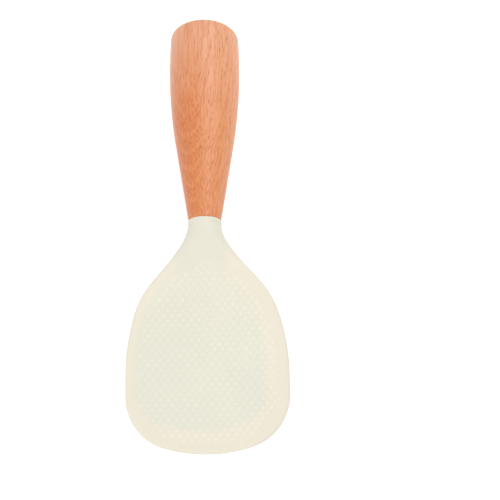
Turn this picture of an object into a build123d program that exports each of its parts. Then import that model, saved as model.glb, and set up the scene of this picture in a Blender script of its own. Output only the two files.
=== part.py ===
"""Rice paddle: a turned beech handle, and a dished silicone head moulded over a stiff core.

The paddle lies as it rests on a table, hollow side up. Z is up, Y runs from the tip of the head
to the butt of the handle, and X runs across. The origin is on the table, midway along the length.
"""

import os
from math import acos, asin, atan, atan2, cos, degrees, hypot, sin, sqrt

from build123d import *

# Whole paddle
overall_length = 210.0
head_length = 105.0
head_width = 75.0

# Handle
belly_diameter = 35.4
belly_from_butt = 20.0
belly_arc_share = 0.79
seam_diameter = 15.4
butt_diameter = 34.8
butt_dome_height = 5.0
butt_shoulder_radius = 3.0
seam_edge_break = 0.3

# Head outside
blade_thickness = 4.0
low_point_from_tip = 9.0
neck_bend_radius = 110.0
tip_radius = 69.5
corner_radius = 24.3
rim_round_share = 0.46
neck_diameter = 15.4
collar_diameter = 15.9
collar_length = 1.8
collar_round = 0.5

# Side of the blade, from its corner to the end that is buried in the neck:
# shares of the head's length from the tip, and of its half width
blade_side_shares = [
    (0.42, 0.989),
    (0.54, 0.931),
    (0.64, 0.836),
    (0.73, 0.670),
    (0.80, 0.496),
    (0.94, 0.15),
]

# Neck, from the seam into the blade: shares of the head's length from the tip, then half width
# and half height as shares of the neck's radius
neck_shares = [
    (1.00, 1.00, 1.00),
    (0.97, 1.04, 1.00),
    (0.93, 1.20, 0.95),
    (0.885, 1.53, 0.82),
    (0.84, 1.95, 0.65),
    (0.79, 2.28, 0.48),
    (0.72, 2.52, 0.34),
    (0.66, 2.62, 0.27),
    (0.60, 2.66, 0.235),
]

# Core
core_thickness = 2.0
core_inset = 8.0
core_side_shares = (0.25, 0.5, 0.7, 0.84)
tang_diameter = 8.7
tang_length = 38.0
tang_tip_chamfer = 1.2
groove_depth = 0.6
groove_width = 2.0
groove_pitch = 8.0
groove_count = 3
core_neck_flat_share = 0.62

# Fit of the tang in the handle
glue_gap = 0.25
glue_end_gap = 2.0

# Overrun of every cutting or trimming shape past what it cuts
overrun = 5.0

# Worked out from the sizes above
belly_radius = belly_diameter / 2
axis_height = belly_radius
tip_y = -overall_length / 2
butt_y = overall_length / 2
seam_y = tip_y + head_length
low_y = tip_y + low_point_from_tip
bore_radius = tang_diameter / 2 + glue_gap
bore_depth = tang_length + glue_end_gap

# The middle line of the head is two tangent arcs: up out of the dish, then level into the handle
dish_run = seam_y - low_y
dish_rise = axis_height - blade_thickness / 2
bend_angle = 2 * atan(dish_rise / dish_run)
dish_middle_radius = dish_run / sin(bend_angle) - neck_bend_radius
dish_centre_z = blade_thickness / 2 + dish_middle_radius
bend_start_y = low_y + dish_middle_radius * sin(bend_angle)

# The plate is turned about an axis through the dish arc's centre, which makes the dish part of a ball
dish_axis = Axis((0, 0, dish_centre_z), (0, 1, 0))

# The corner's centre makes its arc tangent to the tip arc and to the widest line
corner_x = head_width / 2 - corner_radius
corner_turn = degrees(asin(corner_x / (tip_radius - corner_radius)))
corner_y = tip_y + tip_radius - sqrt((tip_radius - corner_radius) ** 2 - corner_x**2)

# Points of the right side above the corner, and those of the core, square in from the curve
side_tangents = [(0, 1), (-1, 1)]
blade_side_points = [
    (width_share * head_width / 2, tip_y + length_share * head_length)
    for length_share, width_share in blade_side_shares
]
blade_side = Spline((head_width / 2, corner_y), *blade_side_points, tangents=side_tangents)
core_side_points = [
    blade_side @ share + (blade_side % share).rotate(Axis.Z, 90) * core_inset
    for share in core_side_shares
]


def middle_plane(y):
    """Plane square to the head's middle line at y, with its own x across the head."""
    if y > bend_start_y:
        slope = asin((seam_y - y) / neck_bend_radius)
        z = axis_height - neck_bend_radius * (1 - cos(slope))
    else:
        slope = asin((y - low_y) / dish_middle_radius)
        z = dish_centre_z - dish_middle_radius * cos(slope)
    return Plane(origin=(0, y, z), x_dir=(-1, 0, 0), z_dir=(0, cos(slope), sin(slope)))


def plate_profile(thickness):
    """Lengthways section of the dished plate along both middle arcs, to be turned about its axis.

    It is drawn on the far side of that axis, so that the turned body's seam stays off the dish.
    """
    dish_centre = (low_y, 0)
    bend_centre = (seam_y, dish_centre_z - axis_height + neck_bend_radius)
    half = thickness / 2
    bend_turn = degrees(bend_angle)
    dish_start = 90 - bend_turn
    dish_turn = bend_turn + degrees(asin((low_point_from_tip + overrun) / dish_middle_radius))
    with BuildSketch(Plane(origin=dish_axis.position, x_dir=(0, 1, 0), z_dir=(1, 0, 0))) as profile:
        with BuildLine():
            under = CenterArc(dish_centre, dish_middle_radius + half, dish_start, dish_turn)
            over = CenterArc(dish_centre, dish_middle_radius - half, dish_start, dish_turn)
            under_bend = CenterArc(bend_centre, neck_bend_radius - half, -90, -bend_turn)
            over_bend = CenterArc(bend_centre, neck_bend_radius + half, -90, -bend_turn)
            Line(under @ 1, over @ 1)
            Line(under_bend @ 0, over_bend @ 0)
        make_face()
    return profile.sketch


def blade_outline(inset, side_points):
    """Plan of the blade: tip arc, corner arcs, flowing sides and a narrow end inside the neck."""
    with BuildSketch() as outline:
        with BuildLine():
            CenterArc((0, tip_y + tip_radius), tip_radius - inset, -90, corner_turn)
            corner_arc = CenterArc(
                (corner_x, corner_y), corner_radius - inset, corner_turn - 90, 90 - corner_turn
            )
            side = Spline(corner_arc @ 1, *side_points, tangents=side_tangents)
            Line(side @ 1, (0, (side @ 1).Y))
            mirror(about=Plane.YZ)
        make_face()
    return outline.sketch


def neck_sections(radius, flat_share):
    """Ovals along the head's middle line, from a circle at the seam to a flat nose in the blade."""
    sections = []
    for length_share, width_share, height_share in neck_shares:
        flatten = 1 - (1 - flat_share) * (1 - height_share)
        with BuildSketch(middle_plane(tip_y + length_share * head_length)) as section:
            Ellipse(width_share * radius, height_share * radius * flatten)
        sections.append(section.sketch)
    return sections


# Handle: in front of the belly, an arc and the straight taper tangent to it. The arc's radius is
# a share of the one that would reach the seam without a straight
taper_length = butt_y - belly_from_butt - seam_y
seam_radius = seam_diameter / 2
taper_drop = belly_radius - seam_radius
belly_arc_radius = belly_arc_share * (taper_length**2 + taper_drop**2) / (2 * taper_drop)
seam_reach = hypot(taper_length, belly_arc_radius - taper_drop)
seam_bearing = atan2(taper_length, belly_arc_radius - taper_drop)
taper_angle = seam_bearing - acos(belly_arc_radius / seam_reach)

with BuildPart() as handle:
    with BuildSketch(Plane(origin=(0, butt_y, axis_height), x_dir=(1, 0, 0), z_dir=(0, 0, 1))):
        with BuildLine():
            belly = (belly_radius, -belly_from_butt)
            corner = (butt_diameter / 2, -butt_dome_height)
            dome = TangentArc((0, 0), corner, tangent=(1, 0))
            back = TangentArc(belly, corner, tangent=(0, 1))
            front = JernArc(belly, (0, -1), belly_arc_radius, -degrees(taper_angle))
            taper = Line(front @ 1, (seam_radius, seam_y - butt_y))
            Line(taper @ 1, (0, seam_y - butt_y))
            Line((0, seam_y - butt_y), (0, 0))
        make_face()
    revolve(axis=Axis((0, 0, axis_height), (0, 1, 0)))
    rings = handle.edges().filter_by(lambda edge: edge.is_closed).sort_by(Axis.Y)
    fillet(rings[-1], butt_shoulder_radius)
    chamfer(rings[0], seam_edge_break)
    with BuildSketch(Plane(origin=(0, seam_y, axis_height), x_dir=(-1, 0, 0), z_dir=(0, 1, 0))):
        Circle(bore_radius)
    extrude(amount=bore_depth, mode=Mode.SUBTRACT)

# Core: a dished plate, a neck and a grooved tang in one moulding
core_neck_radius = tang_diameter / 2
core_outline = blade_outline(core_inset, core_side_points)
core_ovals = neck_sections(core_neck_radius, core_neck_flat_share)
with BuildPart() as core:
    revolve(plate_profile(core_thickness), axis=dish_axis)
    extrude(core_outline, amount=2 * axis_height, mode=Mode.INTERSECT)
    loft(core_ovals)
    with BuildSketch(Plane(origin=(0, seam_y, axis_height), x_dir=(-1, 0, 0), z_dir=(0, 1, 0))):
        Circle(core_neck_radius)
    extrude(amount=tang_length)
    tang_end = core.faces().sort_by(Axis.Y)[-1]
    chamfer(tang_end.edges(), tang_tip_chamfer)
    for groove in range(groove_count):
        groove_y = seam_y + tang_length / 2 + (groove - (groove_count - 1) / 2) * groove_pitch
        with BuildSketch(
            Plane(
                origin=(0, groove_y - groove_width / 2, axis_height),
                x_dir=(-1, 0, 0),
                z_dir=(0, 1, 0),
            )
        ):
            Circle(core_neck_radius + overrun)
            Circle(core_neck_radius - groove_depth, mode=Mode.SUBTRACT)
        extrude(amount=groove_width, mode=Mode.SUBTRACT)

# Head skin: dished blade with a rounded rim, oval neck and collar, hollow for the core
blade_plan = blade_outline(0, blade_side_points)
neck_ovals = neck_sections(neck_diameter / 2, 1)
with BuildPart() as head_skin:
    revolve(plate_profile(blade_thickness), axis=dish_axis)
    extrude(blade_plan, amount=2 * axis_height, mode=Mode.INTERSECT)
    wide_faces = head_skin.faces().sort_by(SortBy.AREA)[-2:]
    rim_edges = wide_faces.edges().filter_by(GeomType.CIRCLE, reverse=True)
    fillet(rim_edges, rim_round_share * blade_thickness)
    loft(neck_ovals)
    with BuildSketch(Plane(origin=(0, seam_y, axis_height), x_dir=(1, 0, 0), z_dir=(0, 0, 1))):
        Rectangle(collar_diameter / 2, collar_length, align=(Align.MIN, Align.MAX))
        outer_corners = vertices().group_by(Axis.X)[-1]
        fillet(outer_corners, collar_round)
    revolve(axis=Axis((0, 0, axis_height), (0, 1, 0)))
    add(core.part, mode=Mode.SUBTRACT)

# Adhesive: what fills the bore round the tang, its grooves and its end
with BuildPart() as tang_adhesive:
    with BuildSketch(Plane(origin=(0, seam_y, axis_height), x_dir=(-1, 0, 0), z_dir=(0, 1, 0))):
        Circle(bore_radius)
    extrude(amount=bore_depth)
    add(core.part, mode=Mode.SUBTRACT)

handle.part.label = "handle"
head_skin.part.label = "head_skin"
core.part.label = "core"
tang_adhesive.part.label = "tang_adhesive"

os.makedirs("parts", exist_ok=True)
for piece in (handle, head_skin, core, tang_adhesive):
    export_step(piece.part, f"parts/{piece.part.label}.step")
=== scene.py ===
"""A rice paddle lying on a table: turned beech handle, dotted silicone head, stiff core inside.

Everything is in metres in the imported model's frame: +Z up, +Y from the head's tip to the butt of
the handle, +X across. The frame's boxes give the main sizes, and the other sizes are named here.
"""

from math import asin, atan, atan2, cos, hypot, pi, radians, sin, sqrt

import bmesh
import bpy
import numpy as np
from mathutils import Matrix, Vector


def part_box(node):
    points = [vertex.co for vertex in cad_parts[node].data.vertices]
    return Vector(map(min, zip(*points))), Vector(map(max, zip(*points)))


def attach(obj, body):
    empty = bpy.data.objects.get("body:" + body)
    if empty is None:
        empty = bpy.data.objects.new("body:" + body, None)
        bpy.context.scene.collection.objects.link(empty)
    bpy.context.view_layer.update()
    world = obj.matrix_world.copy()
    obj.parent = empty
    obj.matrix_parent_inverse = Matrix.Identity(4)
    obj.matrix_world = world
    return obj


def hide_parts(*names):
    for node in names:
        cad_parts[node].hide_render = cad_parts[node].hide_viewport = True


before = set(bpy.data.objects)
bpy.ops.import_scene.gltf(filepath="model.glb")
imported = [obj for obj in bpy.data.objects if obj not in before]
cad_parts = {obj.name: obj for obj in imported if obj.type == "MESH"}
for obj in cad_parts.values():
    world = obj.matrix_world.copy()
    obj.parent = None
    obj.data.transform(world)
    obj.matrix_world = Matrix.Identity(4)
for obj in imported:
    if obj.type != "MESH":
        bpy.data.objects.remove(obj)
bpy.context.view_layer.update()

mm = 0.001

# Sizes that the frame gives
handle_low, handle_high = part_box("handle")
head_low, head_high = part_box("head_skin")
butt_y = handle_high.y
seam_y = head_high.y
tip_y = head_low.y
head_length = seam_y - tip_y
head_half_width = head_high.x
belly_radius = handle_high.x
axis_height = (handle_low.z + handle_high.z) / 2
handle_length = butt_y - seam_y

# Handle
belly_from_butt = 20.0 * mm
belly_arc_share = 0.79
seam_radius = 7.7 * mm
butt_radius = 17.4 * mm
butt_dome_height = 5.0 * mm
butt_shoulder_radius = 3.0 * mm
seam_edge_break = 0.3 * mm
bore_radius = 4.6 * mm
bore_depth = 40.0 * mm
handle_sides = 192
dome_points = 24
shoulder_points = 16
back_points = 16
front_points = 70
taper_points = 30
handle_sharp_angle = radians(40)
handle_weld = 0.001 * mm

# Head: plan
tip_radius = 69.5 * mm
corner_radius = 24.3 * mm
# Shares of the head's length from the tip, and of its half width
side_shares = [
    (0.42, 0.989),
    (0.54, 0.931),
    (0.64, 0.836),
    (0.73, 0.670),
    (0.80, 0.496),
    (0.86, 0.363),
    (0.92, 0.258),
    (0.965, 0.216),
    (1.00, 0.2053),
]

# Head: points along the outline, and steps in from it through the rim and on to the spine
tip_points = 42
corner_points = 84
side_points = 170
collar_points = 18
rim_steps = 9
inner_steps = 20
head_sharp_angle = radians(50)
head_weld = 0.0002 * mm

# The spine's end: lines in from the outline nearer the tip than the split are drawn together
# towards the focus
spine_split_from_tip = 50.0 * mm
spine_focus_from_tip = 28.0 * mm

# Head: side view and thickness
blade_thickness = 4.0 * mm
low_point_from_tip = 9.0 * mm
neck_bend_radius = 110.0 * mm
neck_radius = 7.7 * mm
# Shares of the head's length from the tip, then the neck's half height as a share of its radius
neck_height_shares = [
    (0.56, 0.0),
    (0.66, 0.15),
    (0.72, 0.30),
    (0.79, 0.475),
    (0.84, 0.65),
    (0.885, 0.82),
    (0.93, 0.95),
    (0.97, 1.0),
    (1.00, 1.0),
]
# Shares of the length, then the neck's half width as a share of its radius
neck_width_shares = [
    (0.56, 2.75),
    (0.66, 2.66),
    (0.72, 2.56),
    (0.79, 2.32),
    (0.84, 1.97),
    (0.885, 1.54),
    (0.93, 1.20),
    (0.97, 1.04),
    (1.00, 1.0),
]
neck_blend = 4.0
cross_curve_end_share = 0.86
collar_length = 1.8 * mm
collar_height = 0.25 * mm
collar_squareness = 0.3
# Lines in from the outline run straight across the collar and this far below it
collar_margin = 0.5 * mm
# The edge at the seam gets a painted highlight between these distances from the seam
highlight_edge_start = 0.9 * mm
highlight_edge_end = 0.4 * mm

# Head: dots
dot_column_pitch = 3.61 * mm
dot_row_pitch = 2.24 * mm
dot_centre_from_tip = 42.0 * mm
dot_margin = 5.2 * mm
# Rows and half columns tried on each side of the middle, more than the head holds
dot_rows_tried = 20
dot_columns_tried = 24
dot_peak_from_tip = 85.5 * mm
dot_peak_slope = 2.2
dot_radius = 0.92 * mm
dot_height = 0.13 * mm
dot_sides = 12
# Rings of a dot: distance out and height, as shares of its radius and height
dot_reach_shares = np.array([0, 0.42, 0.72, 0.92, 1.06, 0])
dot_height_shares = np.array([1, 0.93, 0.66, 0.26, -0.3, -0.4])

# How the stiff core shows through the skin: the zone where it shows is moved a little to the left
# and towards the handle
core_inset = 8.0 * mm
core_aside = -2.6 * mm
core_ahead = 2.0 * mm
core_edge_blur = 4.5 * mm
core_flare_start_share = 0.76
core_flare_end_share = 0.90
core_deep_share = 0.70
core_deep_length = 16.0 * mm
core_deep_fade = 0.5
core_neck_fade = 0.2


def smooth_step(value, low, high):
    """0 below low, 1 above high, and 3t^2 - 2t^3 between them."""
    t = np.clip((value - low) / (high - low), 0, 1)
    return t * t * (3 - 2 * t)


def arc(centre, radius, start, end, count):
    """Points on a circle at even bearings from start to end, both in radians."""
    bearing = np.linspace(start, end, count)
    return np.stack(
        [centre[0] + radius * np.cos(bearing), centre[1] + radius * np.sin(bearing)], axis=1
    )


def flowing(points, start_slope, end_slope):
    """The clamped cubic spline through points of (place, value), as a function of an array.

    Its slopes at the points solve the tridiagonal system that makes the curvature continuous;
    between two points it is the cubic Hermite curve of those values and slopes.
    """
    place, value = np.array(points, float).T
    gap = np.diff(place)
    rise = np.diff(value) / gap
    count = len(place)
    system = np.eye(count)
    inner = np.arange(1, count - 1)
    system[inner, inner - 1] = gap[1:]
    system[inner, inner] = 2 * (gap[:-1] + gap[1:])
    system[inner, inner + 1] = gap[:-1]
    wanted = np.empty(count)
    wanted[0], wanted[-1] = start_slope, end_slope
    wanted[1:-1] = 3 * (gap[1:] * rise[:-1] + gap[:-1] * rise[1:])
    slope = np.linalg.solve(system, wanted)

    def curve(at):
        at = np.clip(at, place[0], place[-1])
        span = np.clip(np.searchsorted(place, at, side="right") - 1, 0, count - 2)
        t = (at - place[span]) / gap[span]
        return (
            (1 + 2 * t) * (1 - t) ** 2 * value[span]
            + t * (1 - t) ** 2 * gap[span] * slope[span]
            + t * t * (3 - 2 * t) * value[span + 1]
            - t * t * (1 - t) * gap[span] * slope[span + 1]
        )

    return curve


def grid_faces(rows, columns, closed):
    """Quads of a grid of vertices numbered row by row. Closed joins its last and first columns."""
    last = columns if closed else columns - 1
    row, column = np.meshgrid(np.arange(rows - 1), np.arange(last), indexing="ij")
    beside = (column + 1) % columns
    corners = [
        row * columns + column,
        (row + 1) * columns + column,
        (row + 1) * columns + beside,
        row * columns + beside,
    ]
    return np.stack(corners, axis=-1).reshape(-1, 4)


def make_piece(name, vertices, faces, material, weld, numbers=None):
    """A mesh object from arrays, with coinciding vertices welded and all faces outward."""
    mesh = bpy.data.meshes.new(name)
    mesh.from_pydata(vertices.tolist(), [], faces.tolist())
    for attribute_name, values in (numbers or {}).items():
        attribute = mesh.attributes.new(attribute_name, "FLOAT", "POINT")
        attribute.data.foreach_set("value", np.asarray(values, np.float32))
    shape = bmesh.new()
    shape.from_mesh(mesh)
    bmesh.ops.remove_doubles(shape, verts=shape.verts, dist=weld)
    bmesh.ops.dissolve_degenerate(shape, edges=shape.edges, dist=weld)
    bmesh.ops.recalc_face_normals(shape, faces=shape.faces)
    shape.to_mesh(mesh)
    shape.free()
    mesh.shade_smooth()
    mesh.materials.append(material)
    piece = bpy.data.objects.new(name, mesh)
    bpy.context.scene.collection.objects.link(piece)
    return piece


# Handle

def handle_profile():
    """The turned profile as (distance from the butt, radius) pairs, from the butt to the bore.

    A dome arc and a back arc meet in a shoulder arc tangent to both. In front of the belly an arc
    and a straight taper tangent to it run to the seam. The bore closes the profile.
    """
    dome_radius = (butt_radius**2 + butt_dome_height**2) / (2 * butt_dome_height)
    back_run = belly_from_butt - butt_dome_height
    back_rise = belly_radius - butt_radius
    back_radius = (back_run**2 + back_rise**2) / (2 * back_rise)
    dome_centre = np.array([dome_radius, 0])
    back_centre = np.array([belly_from_butt, belly_radius - back_radius])

    # The shoulder's centre is where circles of the two reduced radii meet
    apart = back_centre - dome_centre
    distance = np.hypot(*apart)
    dome_reach = dome_radius - butt_shoulder_radius
    back_reach = back_radius - butt_shoulder_radius
    along = (distance**2 + dome_reach**2 - back_reach**2) / (2 * distance)
    aside = sqrt(dome_reach**2 - along**2)
    unit = apart / distance
    square = np.array([-unit[1], unit[0]])
    shoulder_centre = max(
        dome_centre + along * unit + aside * square,
        dome_centre + along * unit - aside * square,
        key=lambda centre: centre[1],
    )
    to_dome = shoulder_centre - dome_centre
    to_back = shoulder_centre - back_centre
    dome_bearing = atan2(to_dome[1], to_dome[0])
    back_bearing = atan2(to_back[1], to_back[0])

    taper_length = handle_length - belly_from_butt
    drop = belly_radius - seam_radius
    front_radius = belly_arc_share * (taper_length**2 + drop**2) / (2 * drop)
    reach = hypot(taper_length, front_radius - drop)
    taper_angle = atan2(taper_length, front_radius - drop) - np.arccos(front_radius / reach)
    front_centre = (belly_from_butt, belly_radius - front_radius)
    front = arc(front_centre, front_radius, pi / 2, pi / 2 - taper_angle, front_points)
    broken_edge = handle_length - seam_edge_break
    taper_place = np.linspace(front[-1][0], broken_edge, taper_points)
    taper_fall = (taper_place - front[-1][0]) * np.tan(taper_angle)
    taper = np.stack([taper_place, front[-1][1] - taper_fall], axis=1)
    bore = np.array(
        [
            (handle_length, seam_radius - seam_edge_break),
            (handle_length, bore_radius),
            (handle_length - bore_depth, bore_radius),
            (handle_length - bore_depth, 0),
        ]
    )
    dome = arc(dome_centre, dome_radius, pi, dome_bearing, dome_points)
    shoulder = arc(
        shoulder_centre, butt_shoulder_radius, dome_bearing, back_bearing, shoulder_points
    )
    back = arc(back_centre, back_radius, back_bearing, pi / 2, back_points)
    return np.concatenate([dome[:-1], shoulder[:-1], back[:-1], front, taper[1:], bore])


def make_handle(material):
    """The profile turned once round the handle's axis, with its poles on the axis."""
    profile = handle_profile()
    turn = np.linspace(0, 2 * pi, handle_sides, endpoint=False)
    radius = profile[:, 1:2]
    place = np.broadcast_to(butt_y - profile[:, 0:1], (len(profile), handle_sides))
    points = np.stack(
        [radius * np.cos(turn), place, axis_height + radius * np.sin(turn)], axis=-1
    )
    faces = grid_faces(len(profile), handle_sides, closed=True)
    piece = make_piece("turned_handle", points.reshape(-1, 3), faces, material, handle_weld)
    mark_sharp(piece, handle_sharp_angle)
    return piece


def mark_sharp(piece, angle):
    """Marks edges that bend more than an angle as sharp, so that shading breaks there."""
    shape = bmesh.new()
    shape.from_mesh(piece.data)
    for edge in shape.edges:
        edge.smooth = edge.calc_face_angle(0) < angle
    shape.to_mesh(piece.data)
    shape.free()


# Head

low_y = tip_y + low_point_from_tip
plate_half = blade_thickness / 2
dish_run = seam_y - low_y
dish_rise = axis_height - plate_half
bend_angle = 2 * atan(dish_rise / dish_run)
dish_radius = dish_run / sin(bend_angle) - neck_bend_radius
dish_centre_z = plate_half + dish_radius
bend_start_y = low_y + dish_radius * sin(bend_angle)

corner_x = head_half_width - corner_radius
corner_turn = asin(corner_x / (tip_radius - corner_radius))
corner_y = tip_y + tip_radius - sqrt((tip_radius - corner_radius) ** 2 - corner_x**2)

half_width_at = flowing(
    [(corner_y, head_half_width)]
    + [(tip_y + a * head_length, b * head_half_width) for a, b in side_shares],
    0,
    0,
)
neck_half_height_at = flowing(
    [(tip_y + a * head_length, b * neck_radius) for a, b in neck_height_shares], 0, 0
)
neck_half_width_at = flowing(
    [(tip_y + a * head_length, b * neck_radius) for a, b in neck_width_shares], 0, 0
)


def collar_bead(y):
    """Height of the collar: a rounded bar over the last stretch before the seam."""
    share = np.clip((seam_y - y) / collar_length, 0, 1)
    return collar_height * (1 - (2 * share - 1) ** 2) ** collar_squareness


def head_outline():
    """Right side of the head's plan from the tip to the seam.

    The tip arc, the corner arc tangent to it, the flowing side, then closer points on the collar.
    """
    tip_centre, corner_centre = (0, tip_y + tip_radius), (corner_x, corner_y)
    corner_bearing = -pi / 2 + corner_turn
    tip = arc(tip_centre, tip_radius, -pi / 2, corner_bearing, tip_points)
    corner = arc(corner_centre, corner_radius, corner_bearing, 0, corner_points)
    side_y = np.linspace(corner_y, seam_y - collar_length, side_points)
    collar_turn = np.linspace(0, pi, collar_points)
    collar_y = seam_y - collar_length * (1 + np.cos(collar_turn)) / 2
    y = np.concatenate([side_y[1:], collar_y[1:]])
    side = np.stack([half_width_at(y) + collar_bead(y), y], axis=1)
    return np.concatenate([tip[:-1], corner, side])


def middle_height(x, y):
    """Height of the head's middle surface: a ball's dish, then the neck's bend up to the axis.

    Across, it rises like a circle about the dish's axis, and this rise fades out along the neck.
    """
    from_low = np.clip(y - low_y, -dish_radius, dish_radius)
    dish = dish_centre_z - np.sqrt(dish_radius**2 - from_low**2)
    from_seam = np.clip(seam_y - y, 0, neck_bend_radius)
    bend = axis_height - neck_bend_radius + np.sqrt(neck_bend_radius**2 - from_seam**2)
    line = np.where(y < bend_start_y, dish, bend)
    reach = dish_centre_z - line
    rise = reach - np.sqrt(reach**2 - x**2)
    fade = 1 - smooth_step(y, tip_y + cross_curve_end_share * head_length, seam_y)
    return line + rise * fade


def half_thickness(x, y, rim):
    """Half of the skin's thickness. rim is 1 inside and falls to 0 at the outline's edge.

    The plate's half thickness and the neck's oval are joined by a power mean without a crease.
    """
    bead = collar_bead(y)
    width = neck_half_width_at(y) + bead
    height = neck_half_height_at(y) + bead
    oval = height * np.sqrt(np.clip(1 - (x / width) ** 2, 0, 1))
    return ((plate_half * rim) ** neck_blend + oval**neck_blend) ** (1 / neck_blend)


def skin_point(x, y, rim, side):
    """Point of the skin: the middle surface moved along its normal, up for side 1, down for -1."""
    step = 0.01 * mm
    slope_x = (middle_height(x + step, y) - middle_height(x - step, y)) / (2 * step)
    slope_y = (middle_height(x, y + step) - middle_height(x, y - step)) / (2 * step)
    normal = np.stack([-slope_x, -slope_y, np.ones_like(slope_x)], axis=-1)
    normal /= np.linalg.norm(normal, axis=-1, keepdims=True)
    middle = np.stack([x, y, middle_height(x, y)], axis=-1)
    return middle + normal * (side * half_thickness(x, y, rim))[..., None]


def distance_to(outline, x, y):
    """Least distance in plan from points to the outline's points or their mirror images."""
    gap = np.hypot(np.abs(x)[:, None] - outline[None, :, 0], y[:, None] - outline[None, :, 1])
    return gap.min(axis=1)


def core_cover(outline, x, y):
    """How much of the core shows through: 1 over it, fading to 0 across its edge.

    The zone where the core shows is the outline moved in and slightly aside, and both moves
    fade out along the neck. Where the skin is deep over the core, and in the neck, less of the
    core shows.
    """
    flare_start = tip_y + core_flare_start_share * head_length
    flare_end = tip_y + core_flare_end_share * head_length
    blade = 1 - smooth_step(y, flare_start, flare_end)
    inside = distance_to(outline, x - core_aside * blade, y - core_ahead * blade)
    inset = core_inset * blade
    cover = smooth_step(inside, inset - core_edge_blur / 2, inset + core_edge_blur / 2)
    deep_y = tip_y + core_deep_share * head_length
    deep = core_deep_fade * np.exp(-(((y - deep_y) / core_deep_length) ** 2))
    return cover * (1 - (deep + core_neck_fade * (1 - blade)))


def skin_arrays(outline):
    """Vertices, faces, core cover and painted highlight of the skin without its dots.

    Each outline point has a line in to the head's spine: first a quarter circle of steps through
    the rim, then even steps. Top and bottom, right and left of that line make one closed
    ring, and the rings run from the tip to the seam, where a last ring shrinks to the axis. The
    slight lean of the rim's underside is held inside the solid's box. The seam's edge gets a
    painted highlight.
    """
    ahead = np.gradient(outline, axis=0)
    ahead /= np.linalg.norm(ahead, axis=1, keepdims=True)
    inward = np.stack([-ahead[:, 1], ahead[:, 0]], axis=1)
    inward[0] = (0, 1)
    collar = outline[:, 1] > seam_y - collar_length - collar_margin
    inward[collar] = (-1, 0)
    split_y = tip_y + spine_split_from_tip
    focus_y = tip_y + spine_focus_from_tip
    pulled = focus_y + (outline[:, 1] - tip_y) * (split_y - focus_y) / (split_y - tip_y)
    spine_y = np.where(outline[:, 1] < split_y, pulled, outline[:, 1])
    spine = np.stack([np.zeros_like(spine_y), spine_y], axis=1)

    turn = np.linspace(0, pi / 2, rim_steps + 1)
    rim_in = plate_half * (1 - np.cos(turn))
    rim_share = np.sin(turn)
    through_rim = outline[:, None] + inward[:, None] * rim_in[None, :, None]
    share = np.linspace(0, 1, inner_steps + 1)[1:, None]
    to_spine = through_rim[:, -1:] * (1 - share) + spine[:, None] * share
    plan = np.concatenate([through_rim, to_spine], axis=1)[:, ::-1]
    rim = np.concatenate([rim_share, np.ones(inner_steps)])[::-1]
    rim = np.broadcast_to(rim, plan.shape[:2])

    x, y = plan[..., 0], plan[..., 1]
    top = skin_point(x, y, rim, 1)
    bottom = skin_point(x, y, rim, -1)
    flip = np.array([-1, 1, 1])
    rings = np.concatenate(
        [top, bottom[:, -2::-1], bottom[:, 1:] * flip, top[:, -2:0:-1] * flip], axis=1
    )
    pole = np.broadcast_to([0, seam_y, axis_height], (1, rings.shape[1], 3))
    rings = np.concatenate([rings, pole])
    faces = grid_faces(rings.shape[0], rings.shape[1], closed=True)
    vertices = np.clip(rings.reshape(-1, 3), head_low, head_high)
    cover = core_cover(outline, vertices[:, 0], vertices[:, 1])
    # Painted highlight along the seam's edge, where the collar's top catches light
    pale = smooth_step(vertices[:, 1], seam_y - highlight_edge_start, seam_y - highlight_edge_end)
    return vertices, faces, cover, pale


def dot_places(outline):
    """Staggered rows of dots on the dish, kept a margin inside the outline.

    Rows and columns are even in plan, and one row has a dot on the centre line. Every second row
    is moved half a column. Towards the neck the rows narrow to a peak.
    """
    rows = np.arange(-dot_rows_tried, dot_rows_tried + 1)
    columns = np.arange(-dot_columns_tried, dot_columns_tried + 1)
    row, column = np.meshgrid(rows, columns, indexing="ij")
    keep = (row + column) % 2 == 0
    row, column = row[keep], column[keep]
    y = tip_y + dot_centre_from_tip + row * dot_row_pitch
    x = column * dot_column_pitch / 2
    inside = (y > tip_y) & (np.abs(x) < dot_peak_slope * (tip_y + dot_peak_from_tip - y))
    x, y = x[inside], y[inside]
    limit = np.where(y < corner_y, head_half_width, half_width_at(y))
    inside = (np.abs(x) < limit) & (distance_to(outline, x, y) > dot_margin)
    x, y = x[inside], y[inside]
    from_tip_centre = np.hypot(x, y - (tip_y + tip_radius))
    inside = (from_tip_centre < tip_radius - dot_margin) | (y > corner_y)
    return x[inside], y[inside]


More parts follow.
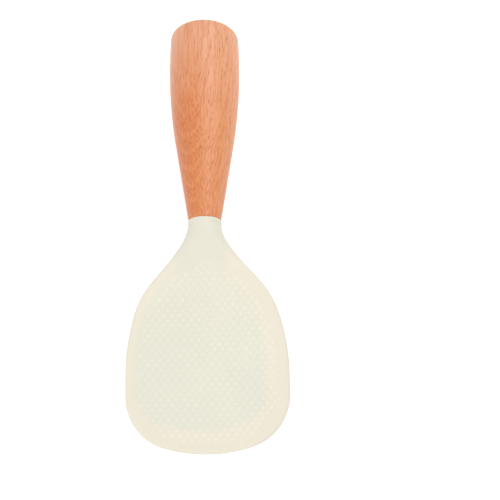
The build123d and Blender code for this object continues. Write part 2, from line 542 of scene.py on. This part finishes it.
def dot_arrays(outline):
    """Vertices, faces, core cover and pale tops of the dots, partly painted highlight.

    Each dot is a low dome of rings about the skin's normal, flat on top and steep at its edge. Its
    foot dips just under the skin and closes there. Its top is paler, partly because the thicker
    silicone hides the core and partly as a painted highlight of light caught by the bump.
    """
    x, y = dot_places(outline)
    ones = np.ones_like(x)
    foot = skin_point(x, y, ones, 1)
    step = 0.05 * mm
    across = skin_point(x + step, y, ones, 1) - skin_point(x - step, y, ones, 1)
    along = skin_point(x, y + step, ones, 1) - skin_point(x, y - step, ones, 1)
    across /= np.linalg.norm(across, axis=1, keepdims=True)
    along /= np.linalg.norm(along, axis=1, keepdims=True)
    up = np.cross(across, along)
    turn = np.linspace(0, 2 * pi, dot_sides, endpoint=False)
    out_x = dot_radius * dot_reach_shares[:, None] * np.cos(turn)
    out_y = dot_radius * dot_reach_shares[:, None] * np.sin(turn)
    out_z = dot_height * dot_height_shares[:, None] * np.ones(dot_sides)
    points = (
        foot[:, None, None]
        + across[:, None, None] * out_x[..., None]
        + along[:, None, None] * out_y[..., None]
        + up[:, None, None] * out_z[..., None]
    )
    one_dot = grid_faces(len(dot_reach_shares), dot_sides, closed=True)
    count = len(dot_reach_shares) * dot_sides
    faces = (one_dot[None] + count * np.arange(len(x))[:, None, None]).reshape(-1, 4)
    vertices = points.reshape(-1, 3)
    # Paler towards each dot's top: partly thicker silicone over the core, partly painted highlight
    pale = np.clip(dot_height_shares[:, None] * np.ones(dot_sides), 0, 1).ravel()
    cover = np.repeat(core_cover(outline, x, y), count)
    return vertices, faces, cover, np.tile(pale, len(x))


def make_head(material):
    """The silicone moulding: skin and dots in one mesh, with core cover, paler dots and painted
    highlight.
    """
    outline = head_outline()
    skin_vertices, skin_faces, skin_cover, skin_highlight = skin_arrays(outline)
    dot_vertices, dot_faces, dot_cover, dot_pale_and_highlight = dot_arrays(outline)
    piece = make_piece(
        "silicone_head",
        np.concatenate([skin_vertices, dot_vertices]),
        np.concatenate([skin_faces, dot_faces + len(skin_vertices)]),
        material,
        head_weld,
        numbers={
            "core_cover": np.concatenate([skin_cover, dot_cover]),
            "pale_and_highlight": np.concatenate([skin_highlight, dot_pale_and_highlight]),
        },
    )
    mark_sharp(piece, head_sharp_angle)
    return piece


# Materials

def new_material(name):
    """A new material, its node tree and the Principled shader that feeds its output."""
    material = bpy.data.materials.new(name)
    material.use_nodes = True
    tree = material.node_tree
    tree.nodes.clear()
    shader = tree.nodes.new("ShaderNodeBsdfPrincipled")
    output = tree.nodes.new("ShaderNodeOutputMaterial")
    tree.links.new(shader.outputs["BSDF"], output.inputs["Surface"])
    return material, tree, shader


def stretched(tree, source, stretch):
    """Coordinates scaled along each axis, in cells per metre."""
    size = tree.nodes.new("ShaderNodeMapping")
    size.inputs["Scale"].default_value = stretch
    tree.links.new(source, size.inputs["Vector"])
    return size.outputs["Vector"]


def noise(tree, source, stretch, detail):
    """Noise with its own number of cells per metre along each axis."""
    pattern = tree.nodes.new("ShaderNodeTexNoise")
    pattern.inputs["Scale"].default_value = 1
    pattern.inputs["Detail"].default_value = detail
    tree.links.new(stretched(tree, source, stretch), pattern.inputs["Vector"])
    return pattern.outputs["Fac"]


def ramp(tree, source, low, high, out_low=0.0, out_high=1.0):
    """Maps a range of a value to another range, clamped."""
    node = tree.nodes.new("ShaderNodeMapRange")
    for name, value in (
        ("From Min", low),
        ("From Max", high),
        ("To Min", out_low),
        ("To Max", out_high),
    ):
        node.inputs[name].default_value = value
    tree.links.new(source, node.inputs["Value"])
    return node.outputs["Result"]


def mix(tree, factor, first, second, blend="MIX"):
    """Mixes two colours, each a socket or a colour."""
    # The node has sockets named alike for each kind of data: these are those of its colours
    first_colour, second_colour, mixed_colour = 6, 7, 2
    node = tree.nodes.new("ShaderNodeMix")
    node.data_type = "RGBA"
    node.blend_type = blend
    for socket, value in (
        (node.inputs["Factor"], factor),
        (node.inputs[first_colour], first),
        (node.inputs[second_colour], second),
    ):
        if isinstance(value, bpy.types.NodeSocket):
            tree.links.new(value, socket)
        else:
            socket.default_value = value
    return node.outputs[mixed_colour]


def maths(tree, operation, first, second):
    """One arithmetic step on two sockets or numbers."""
    node = tree.nodes.new("ShaderNodeMath")
    node.operation = operation
    for socket, value in zip(node.inputs, (first, second)):
        if isinstance(value, bpy.types.NodeSocket):
            tree.links.new(value, socket)
        else:
            socket.default_value = value
    return node.outputs["Value"]


def bump(tree, shader, height, depth):
    """Bumps a shader's normal by a height pattern, depth metres deep."""
    node = tree.nodes.new("ShaderNodeBump")
    node.inputs["Strength"].default_value = 1
    node.inputs["Distance"].default_value = depth
    tree.links.new(height, node.inputs["Height"])
    tree.links.new(node.outputs["Normal"], shader.inputs["Normal"])


def colour(red, green, blue):
    """An sRGB colour given in 0 to 255, as linear values with alpha."""
    shares = np.array([red, green, blue]) / 255
    linear = np.where(shares <= 0.04045, shares / 12.92, ((shares + 0.055) / 1.055) ** 2.4)
    return (*linear.tolist(), 1)


def cloudy_grain():
    """Node group for moulded and cast pieces: slow clouds and a fine grain.

    Each is a noise of its own, with the number of its cells per metre as an input.
    """
    group = bpy.data.node_groups.new("cloudy_grain", "ShaderNodeTree")
    for name, way, kind in (
        ("Place", "INPUT", "NodeSocketVector"),
        ("Cloud Cells", "INPUT", "NodeSocketVector"),
        ("Grain Cells", "INPUT", "NodeSocketVector"),
        ("Clouds", "OUTPUT", "NodeSocketFloat"),
        ("Grain", "OUTPUT", "NodeSocketFloat"),
    ):
        group.interface.new_socket(name, in_out=way, socket_type=kind)
    given = group.nodes.new("NodeGroupInput")
    made = group.nodes.new("NodeGroupOutput")
    for cells, pattern_name, detail in (("Cloud Cells", "Clouds", 3), ("Grain Cells", "Grain", 2)):
        size = group.nodes.new("ShaderNodeVectorMath")
        size.operation = "MULTIPLY"
        group.links.new(given.outputs["Place"], size.inputs[0])
        group.links.new(given.outputs[cells], size.inputs[1])
        pattern = group.nodes.new("ShaderNodeTexNoise")
        pattern.inputs["Scale"].default_value = 1
        pattern.inputs["Detail"].default_value = detail
        group.links.new(size.outputs["Vector"], pattern.inputs["Vector"])
        group.links.new(pattern.outputs["Fac"], made.inputs[pattern_name])
    return group


def use_grain(tree, group, cloud_cells, grain_cells):
    """The clouds and the grain of the group, placed in one material on Object coordinates."""
    node = tree.nodes.new("ShaderNodeGroup")
    node.node_tree = group
    where = tree.nodes.new("ShaderNodeTexCoord").outputs["Object"]
    tree.links.new(where, node.inputs["Place"])
    node.inputs["Cloud Cells"].default_value = cloud_cells
    node.inputs["Grain Cells"].default_value = grain_cells
    return node.outputs["Clouds"], node.outputs["Grain"]


def growth_rings(tree, source, pith, tip, spacing):
    """Rings about a pith line along Y that tips down by an angle, as a saw wave from 0 to 1."""
    place = tree.nodes.new("ShaderNodeMapping")
    place.vector_type = "TEXTURE"
    place.inputs["Location"].default_value = pith
    place.inputs["Rotation"].default_value = (tip, 0, 0)
    tree.links.new(source, place.inputs["Vector"])
    wave = tree.nodes.new("ShaderNodeTexWave")
    wave.wave_type = "RINGS"
    wave.rings_direction = "Y"
    wave.wave_profile = "SAW"
    # The wave texture turns by this angle over each unit of its scaled coordinates
    radians_to_unit = 20
    wave.inputs["Scale"].default_value = 2 * pi / (radians_to_unit * spacing)
    wave.inputs["Distortion"].default_value = 1.0
    wave.inputs["Detail"].default_value = 2
    wave.inputs["Detail Scale"].default_value = 0.15
    tree.links.new(place.outputs["Vector"], wave.inputs["Vector"])
    return wave.outputs["Fac"]


# The fibres' lean at the seam, and how fast it falls along the handle, in 1 / m
fibre_slope = 0.21
fibre_bend = 0.9


def grain_place(tree, parts):
    """Coordinates whose Y follows the fibres.

    The fibres lean from +Y towards +X: they drift aside by y (slope - bend y), so they lean less
    towards the butt. They also lean less on the left side.
    """
    y = parts.outputs["Y"]
    lean = maths(tree, "SUBTRACT", fibre_slope, maths(tree, "MULTIPLY", y, fibre_bend))
    drift = maths(tree, "MULTIPLY", y, lean)
    side = ramp(tree, parts.outputs["X"], -14 * mm, 4 * mm, 0.4, 1.0)
    across = maths(tree, "SUBTRACT", parts.outputs["X"], maths(tree, "MULTIPLY", drift, side))
    place = tree.nodes.new("ShaderNodeCombineXYZ")
    tree.links.new(across, place.inputs["X"])
    tree.links.new(y, place.inputs["Y"])
    tree.links.new(parts.outputs["Z"], place.inputs["Z"])
    return place.outputs["Vector"]


def dashes(tree, source, stretch, core, edge, rarity):
    """Short dashes along the fibres, one at most in each cell of a stretched Voronoi pattern.

    A dash is full within the core distance of its cell's point and gone at the edge distance. Each
    cell's own random number, against rarity, says how strong its dash is.
    """
    cells = tree.nodes.new("ShaderNodeTexVoronoi")
    cells.inputs["Scale"].default_value = 1
    tree.links.new(stretched(tree, source, stretch), cells.inputs["Vector"])
    random = tree.nodes.new("ShaderNodeSeparateColor")
    tree.links.new(cells.outputs["Color"], random.inputs["Color"])
    body = ramp(tree, cells.outputs["Distance"], core, edge, 1, 0)
    return maths(tree, "MULTIPLY", body, ramp(tree, random.outputs["Red"], rarity, 1))


def beech():
    """Lacquered beech: growth rings, fine leaning fibres, short dark flecks.

    The rings are cut nearly flat on the left, where they show as wide arches, and fade to the
    right. The flecks are strongest on the right. The wood is paler towards the butt and more
    orange low on the left. Its darker left side and paler right side are partly the wood's own
    tone and partly painted shade and light, as if lit from the right. The dark tints multiply the
    colour under them.
    """
    ring_tint = (0.95, 0.83, 0.70, 1)
    fibre_tint = (0.90, 0.78, 0.66, 1)
    fleck_tint = (0.62, 0.42, 0.28, 1)
    material, tree, shader = new_material("beech_lacquered")
    where = tree.nodes.new("ShaderNodeTexCoord").outputs["Object"]
    parts = tree.nodes.new("ShaderNodeSeparateXYZ")
    tree.links.new(where, parts.inputs["Vector"])
    along = grain_place(tree, parts)
    fibres = noise(tree, along, (2700, 55, 2700), 0)
    pith = (22 * mm, 0, -18 * mm)
    rings = growth_rings(tree, along, pith, tip=radians(2), spacing=1.5 * mm)
    fine_flecks = dashes(tree, along, (1800, 210, 1800), core=0.10, edge=0.38, rarity=0.15)
    long_flecks = dashes(tree, along, (1250, 150, 1250), core=0.06, edge=0.32, rarity=0.25)

    lengthways = ramp(tree, parts.outputs["Y"], 50 * mm, 105 * mm)
    # Left to right: partly the wood's own tone, partly painted shade on the left and painted light
    # on the right
    aside = ramp(tree, parts.outputs["X"], -12 * mm, 14 * mm)
    left = mix(tree, lengthways, colour(222, 139, 87), colour(236, 175, 141))
    right = mix(tree, lengthways, colour(233, 158, 108), colour(239, 175, 136))
    base = mix(tree, aside, left, right)
    arches_aside = ramp(tree, parts.outputs["X"], -4 * mm, 5 * mm, 0.8, 0.08)
    arches_along = ramp(tree, parts.outputs["Y"], 35 * mm, 90 * mm, 1, 0.3)
    arches = maths(tree, "MULTIPLY", arches_aside, arches_along)
    rings = maths(tree, "MULTIPLY", ramp(tree, rings, 0.12, 0.45), arches)
    base = mix(tree, rings, base, ring_tint, "MULTIPLY")
    base = mix(tree, ramp(tree, fibres, 0.46, 0.62), base, fibre_tint, "MULTIPLY")
    flecked = ramp(tree, parts.outputs["X"], -12 * mm, 11 * mm, 0.15, 1.2)
    flecks = maths(tree, "MULTIPLY", maths(tree, "MAXIMUM", fine_flecks, long_flecks), flecked)
    base = mix(tree, flecks, base, fleck_tint, "MULTIPLY")
    tree.links.new(base, shader.inputs["Base Color"])
    tree.links.new(ramp(tree, fibres, 0.3, 0.7, 0.42, 0.56), shader.inputs["Roughness"])
    shader.inputs["IOR"].default_value = 1.45
    shader.inputs["Coat Weight"].default_value = 0.28
    shader.inputs["Coat Roughness"].default_value = 0.28
    bump(tree, shader, maths(tree, "SUBTRACT", fibres, flecks), 0.012 * mm)
    return material


def silicone(grain_group):
    """Cream silicone: warm where thick, grey-green over the core; dots and edge paler, partly
    painted highlight.
    """
    # Tint multiplied onto the paler dots and onto the seam edge's painted highlight
    pale_and_highlight_tint = (1.045, 1.048, 1.06, 1)
    material, tree, shader = new_material("silicone_cream")
    clouds, grain = use_grain(tree, grain_group, (45, 45, 45), (2600, 2600, 2600))
    cover = tree.nodes.new("ShaderNodeAttribute")
    cover.attribute_name = "core_cover"
    pale = tree.nodes.new("ShaderNodeAttribute")
    pale.attribute_name = "pale_and_highlight"
    clouds = ramp(tree, clouds, 0.3, 0.7)
    thick = mix(tree, clouds, colour(236, 229, 210), colour(239, 232, 214))
    thin = mix(tree, clouds, colour(229, 227, 211), colour(232, 230, 213))
    base = mix(tree, cover.outputs["Fac"], thick, thin)
    # Paler dot tops, partly painted highlight, and the painted highlight on the seam's edge
    base = mix(tree, pale.outputs["Fac"], base, pale_and_highlight_tint, "MULTIPLY")
    tree.links.new(base, shader.inputs["Base Color"])
    tree.links.new(ramp(tree, grain, 0.3, 0.7, 0.40, 0.52), shader.inputs["Roughness"])
    shader.inputs["IOR"].default_value = 1.42
    bump(tree, shader, grain, 0.004 * mm)
    return material


def moulded_nylon(grain_group):
    """Matte off-white nylon with a fine moulded grain."""
    material, tree, shader = new_material("nylon_moulded")
    clouds, grain = use_grain(tree, grain_group, (60, 20, 60), (1800, 1800, 1800))
    base = mix(tree, ramp(tree, clouds, 0.3, 0.7), colour(218, 222, 208), colour(226, 228, 214))
    tree.links.new(base, shader.inputs["Base Color"])
    tree.links.new(ramp(tree, grain, 0.3, 0.7, 0.48, 0.62), shader.inputs["Roughness"])
    bump(tree, shader, grain, 0.01 * mm)
    return material


def cured_epoxy(grain_group):
    """Amber cured glue with a few cloudy streaks and fine bubbles."""
    material, tree, shader = new_material("epoxy_cured")
    clouds, grain = use_grain(tree, grain_group, (220, 90, 220), (3000, 3000, 3000))
    base = mix(tree, ramp(tree, clouds, 0.35, 0.65), colour(206, 182, 128), colour(222, 204, 158))
    tree.links.new(base, shader.inputs["Base Color"])
    tree.links.new(ramp(tree, clouds, 0.3, 0.7, 0.12, 0.24), shader.inputs["Roughness"])
    bump(tree, shader, grain, 0.003 * mm)
    return material


# Table, light and camera

# Glow of the floor and strength of the white room as light, and half of the floor's side in metres
floor_glow = 0.6
room_light = 0.53
floor_half_side = 3.0

# Name, place in metres, side in metres and power in watts. All lamps face the paddle's middle
lamps = (
    ("key", (0.4, 0.4, 1.0), 0.9, 6.1),
    ("fill", (-0.85, -0.5, 0.7), 0.8, 2.9),
    ("low_tip", (-0.1, -0.9, 0.05), 0.5, 2.0),
    ("low_left", (-0.8, -0.3, 0.05), 0.5, 0.7),
    ("low_right", (0.8, -0.3, 0.05), 0.5, 0.7),
)

# The aim is beside the paddle, which stands left of the middle of the picture
camera_aim = (20.5 * mm, -9.1 * mm, 0)
camera_distance = 320 * mm
camera_tilt = radians(17.5)
camera_lean = radians(1.7)
camera_turn = radians(1.3)
camera_lens = 46.7
camera_sensor = 36


def looked_at(tree):
    """1 where the camera, gloss or clear glass looks, and 0 for light that falls on things."""
    path = tree.nodes.new("ShaderNodeLightPath")
    seen = maths(tree, "MAXIMUM", path.outputs["Is Camera Ray"], path.outputs["Is Glossy Ray"])
    return maths(tree, "MAXIMUM", seen, path.outputs["Is Transmission Ray"])


def studio_white():
    """A pale floor that shows white to the camera and in gloss, and keeps soft shadows."""
    material, tree, shader = new_material("floor_white")
    shader.inputs["Base Color"].default_value = (0.8, 0.8, 0.8, 1)
    shader.inputs["Roughness"].default_value = 0.9
    shader.inputs["Specular IOR Level"].default_value = 0
    shader.inputs["Emission Color"].default_value = (1, 1, 1, 1)
    glow = maths(tree, "MULTIPLY", looked_at(tree), floor_glow)
    tree.links.new(glow, shader.inputs["Emission Strength"])
    return material


def make_floor():
    """A wide square floor at the height that the paddle rests on."""
    corners = floor_half_side * np.array([[-1, -1, 0], [1, -1, 0], [1, 1, 0], [-1, 1, 0]])
    mesh = bpy.data.meshes.new("floor")
    mesh.from_pydata(corners.tolist(), [], [(0, 1, 2, 3)])
    mesh.materials.append(studio_white())
    floor = bpy.data.objects.new("floor", mesh)
    bpy.context.scene.collection.objects.link(floor)


def make_world():
    """White all round: plain light on the paddle, and full white where it is looked at."""
    world = bpy.data.worlds.new("white_room")
    world.use_nodes = True
    tree = world.node_tree
    background = tree.nodes["Background"]
    background.inputs["Color"].default_value = (1, 1, 1, 1)
    strength = ramp(tree, looked_at(tree), 0, 1, room_light, 1)
    tree.links.new(strength, background.inputs["Strength"])
    bpy.context.scene.world = world


def make_lamp(name, place, size, power):
    """A square soft light at a place, facing the middle of the paddle."""
    light = bpy.data.lights.new(name, "AREA")
    light.shape = "SQUARE"
    light.size = size
    light.energy = power
    lamp = bpy.data.objects.new(name, light)
    lamp.location = place
    lamp.rotation_euler = (-Vector(place)).to_track_quat("-Z", "Y").to_euler()
    bpy.context.scene.collection.objects.link(lamp)


def make_camera():
    """A camera above the paddle, tilted towards its tip, leaning aside and turned a little."""
    level = cos(camera_lean)
    back = Vector((sin(camera_lean), -sin(camera_tilt) * level, cos(camera_tilt) * level))
    level_up = Vector((0, 1, 0)) - back.y * back
    level_up.normalize()
    level_right = level_up.cross(back)
    up = level_up * cos(camera_turn) + level_right * sin(camera_turn)
    right = up.cross(back)
    data = bpy.data.cameras.new("camera")
    data.sensor_width = camera_sensor
    data.lens = camera_lens
    camera = bpy.data.objects.new("camera", data)
    rotation = Matrix((right, up, back)).transposed().to_4x4()
    place = Vector(camera_aim) + camera_distance * back
    camera.matrix_world = Matrix.Translation(place) @ rotation
    bpy.context.scene.collection.objects.link(camera)
    bpy.context.scene.camera = camera


# Assembly

handle = make_handle(beech())
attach(handle, "root")
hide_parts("handle")

grain_group = cloudy_grain()
head = make_head(silicone(grain_group))
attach(head, "root")
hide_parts("head_skin")

inner_materials = {"core": moulded_nylon(grain_group), "tang_adhesive": cured_epoxy(grain_group)}
for node, material in inner_materials.items():
    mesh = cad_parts[node].data
    mesh.materials.clear()
    mesh.materials.append(material)

make_floor()
make_world()
for lamp in lamps:
    make_lamp(*lamp)
make_camera()
bpy.context.scene.view_settings.view_transform = "Standard"
